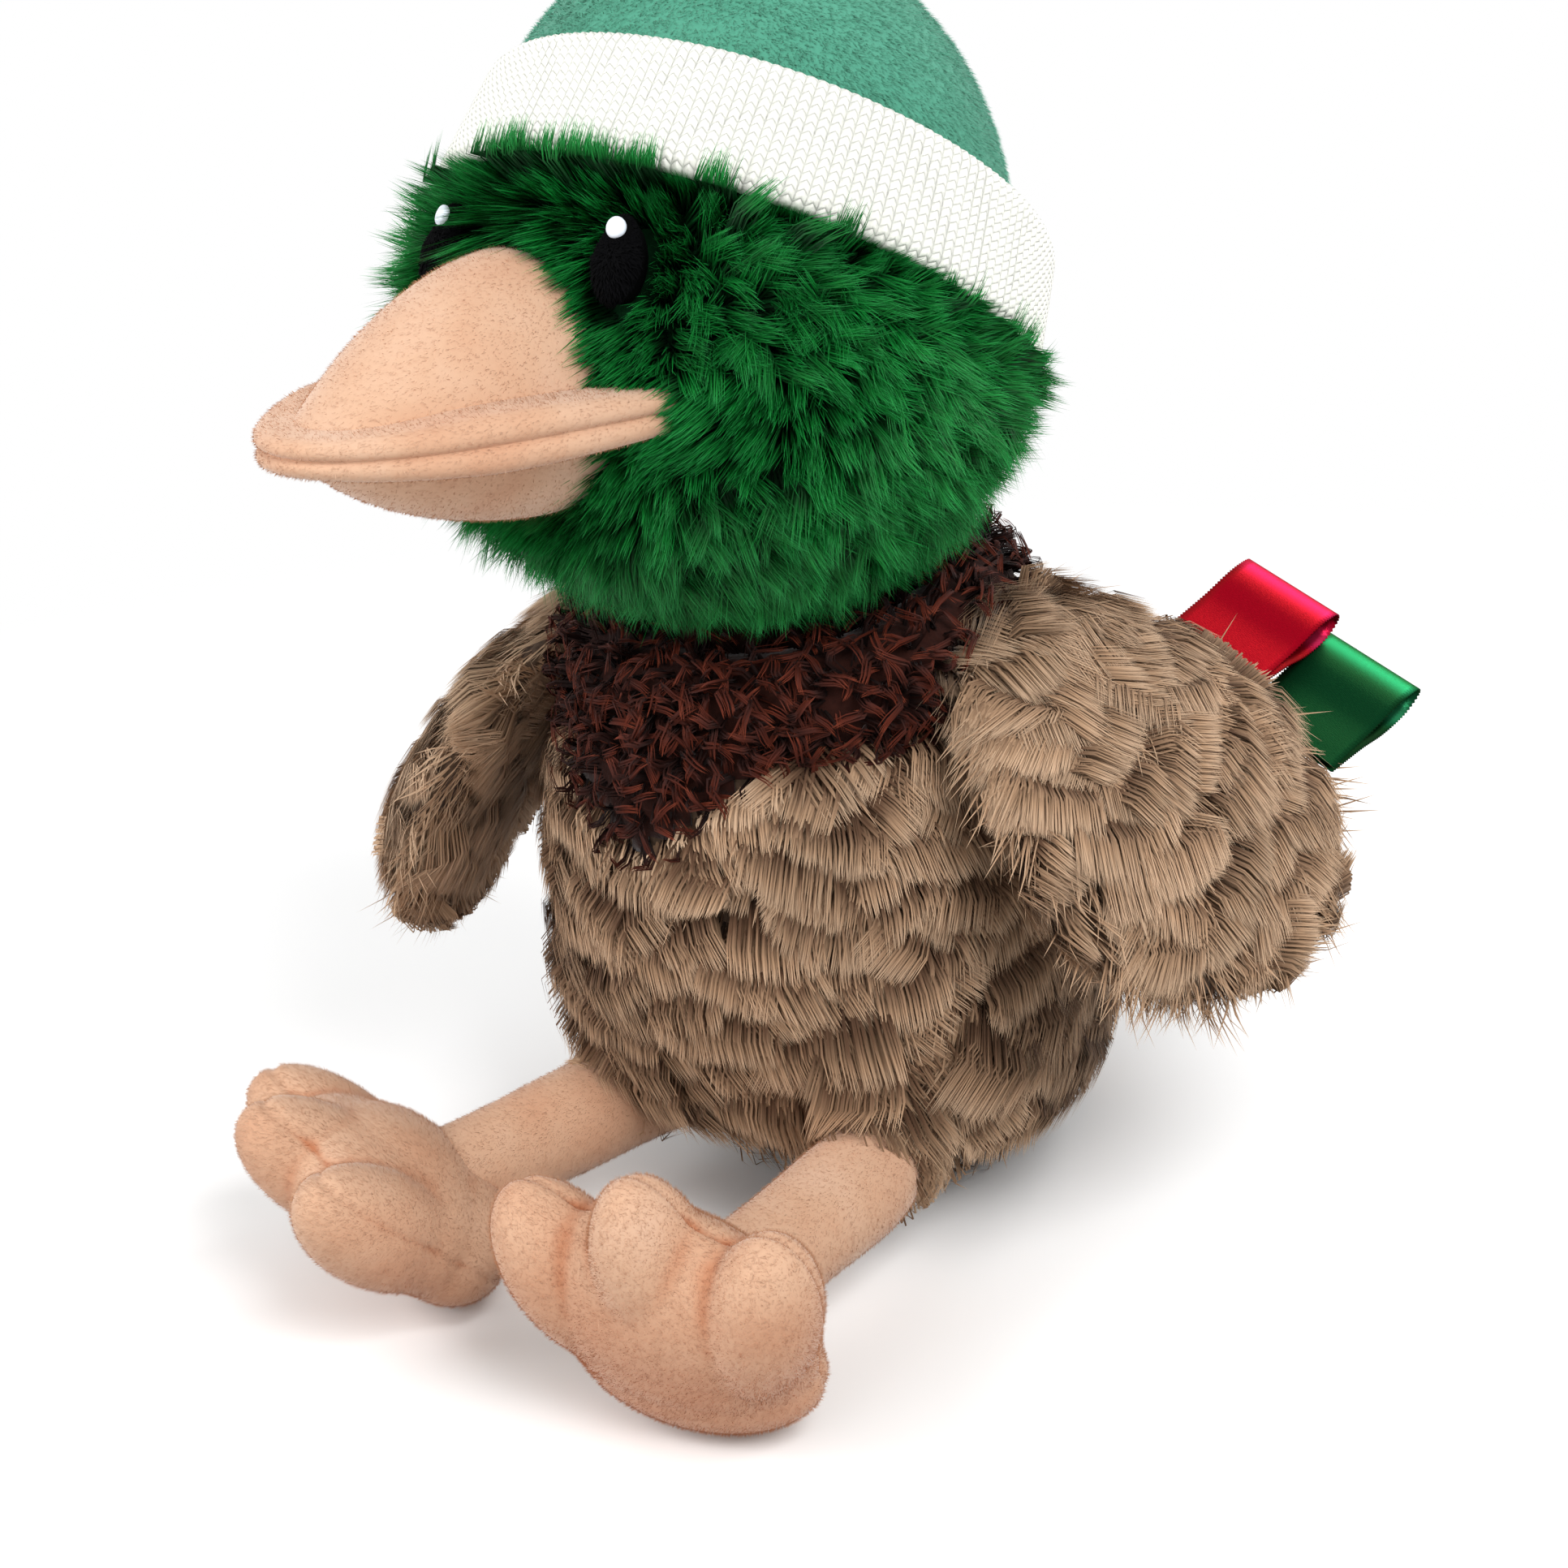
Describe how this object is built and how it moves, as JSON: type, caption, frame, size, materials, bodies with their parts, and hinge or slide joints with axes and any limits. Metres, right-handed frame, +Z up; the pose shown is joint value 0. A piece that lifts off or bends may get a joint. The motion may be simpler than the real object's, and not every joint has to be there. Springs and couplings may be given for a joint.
{
  "type": "plush duck",
  "caption": "Seated plush duck in a knitted hat, with a curly collar, floppy wings and legs, and satin ribbon loops on one wing, for a child to hold.",
  "frame": {"origin": "centre of the flat seat, on the surface that the duck sits on", "axes": "+Z up, -Y towards the face and the toes, +X towards the duck's left side"},
  "size_m": [0.1863, 0.1909, 0.235],
  "materials": {
    "taupe_pile": "long soft pile in scallops",
    "taupe_dark_pile": "short soft pile",
    "brown_curly_pile": "curly pile",
    "green_pile": "long silky pile",
    "peach_velour": "short velour",
    "teal_velour": "short velour",
    "cream_knit": "ribbed knit",
    "red_satin": "satin ribbon",
    "green_satin": "satin ribbon",
    "black_stitching": "raised stitching",
    "white_stitching": "raised stitching",
    "fibre_filling": "loose polyester fibre",
    "pellet_bag": "cloth bag of plastic pellets"
  },
  "bodies": {
    "torso": {"body_cover": "taupe_pile", "collar_bib": "brown_curly_pile", "base_panel": "taupe_dark_pile", "bean_pouch": "pellet_bag", "body_stuffing": "fibre_filling"},
    "neck": {"neck_stuffing": "fibre_filling"},
    "head": {"head_cover": "green_pile", "head_stuffing": "fibre_filling", "upper_bill": "peach_velour", "lower_bill": "peach_velour", "bill_lip": "peach_velour", "left_eye": "black_stitching", "left_eye_glint": "white_stitching", "right_eye": "black_stitching", "right_eye_glint": "white_stitching", "hat_dome": "teal_velour", "hat_cuff": "cream_knit"},
    "left_wing": {"left_wing_outer": "taupe_pile", "left_wing_inner": "taupe_dark_pile", "left_wing_stuffing": "fibre_filling"},
    "right_wing": {"right_wing_outer": "taupe_pile", "right_wing_inner": "taupe_dark_pile", "right_wing_stuffing": "fibre_filling"},
    "red_ribbon": {"red_ribbon_loop": "red_satin"},
    "green_ribbon": {"green_ribbon_loop": "green_satin"},
    "left_leg": {"left_leg": "peach_velour"},
    "right_leg": {"right_leg": "peach_velour"},
    "left_foot": {"left_foot_sole": "peach_velour", "left_foot_top": "peach_velour"},
    "right_foot": {"right_foot_sole": "peach_velour", "right_foot_top": "peach_velour"}
  },
  "joints": [
    {"name": "neck_turn", "type": "hinge", "parent": "torso", "child": "neck", "pos_m": [0, -0.033, 0.143], "axis": [0, 0, 1], "range_deg": [-13, 27], "stiffness_Nm_per_rad": 0.4},
    {"name": "neck_nod", "type": "hinge", "parent": "neck", "child": "head", "pos_m": [0, -0.033, 0.143], "axis": [0.9925, -0.1219, 0], "range_deg": [-12, 12], "stiffness_Nm_per_rad": 0.6},
    {"name": "left_wing_flap", "type": "hinge", "parent": "torso", "child": "left_wing", "pos_m": [0.039, -0.021, 0.114], "axis": [-0.225, -0.9744, 0], "range_deg": [-12, 51], "stiffness_Nm_per_rad": 0.2},
    {"name": "right_wing_flap", "type": "hinge", "parent": "torso", "child": "right_wing", "pos_m": [-0.039, -0.021, 0.114], "axis": [-0.225, 0.9744, 0], "range_deg": [-6, 57], "stiffness_Nm_per_rad": 0.2},
    {"name": "red_ribbon_flop", "type": "hinge", "parent": "left_wing", "child": "red_ribbon", "pos_m": [0.06458, 0.02485, 0.102], "axis": [-0.6429, -0.0298, 0.7653], "range_deg": [-25, 25], "stiffness_Nm_per_rad": 0.002},
    {"name": "green_ribbon_flop", "type": "hinge", "parent": "left_wing", "child": "green_ribbon", "pos_m": [0.07872, 0.02586, 0.08713], "axis": [-0.6429, -0.0298, 0.7653], "range_deg": [-25, 25], "stiffness_Nm_per_rad": 0.002},
    {"name": "left_hip_swing", "type": "hinge", "parent": "torso", "child": "left_leg", "pos_m": [0.03, -0.054, 0.021], "axis": [0.9986, -0.0523, 0], "range_deg": [-28, 60], "stiffness_Nm_per_rad": 0.3},
    {"name": "right_hip_swing", "type": "hinge", "parent": "torso", "child": "right_leg", "pos_m": [-0.028, -0.044, 0.021], "axis": [0.9659, -0.2588, 0], "range_deg": [-28, 60], "stiffness_Nm_per_rad": 0.3},
    {"name": "left_ankle_bend", "type": "hinge", "parent": "left_leg", "child": "left_foot", "pos_m": [0.02744, -0.1029, 0.0191], "axis": [0.9986, 0.0523, 0], "range_deg": [-20, 20], "stiffness_Nm_per_rad": 0.05},
    {"name": "right_ankle_bend", "type": "hinge", "parent": "right_leg", "child": "right_foot", "pos_m": [-0.04068, -0.0913, 0.01936], "axis": [0.7986, -0.6018, 0], "range_deg": [-20, 20], "stiffness_Nm_per_rad": 0.05}
  ]
}
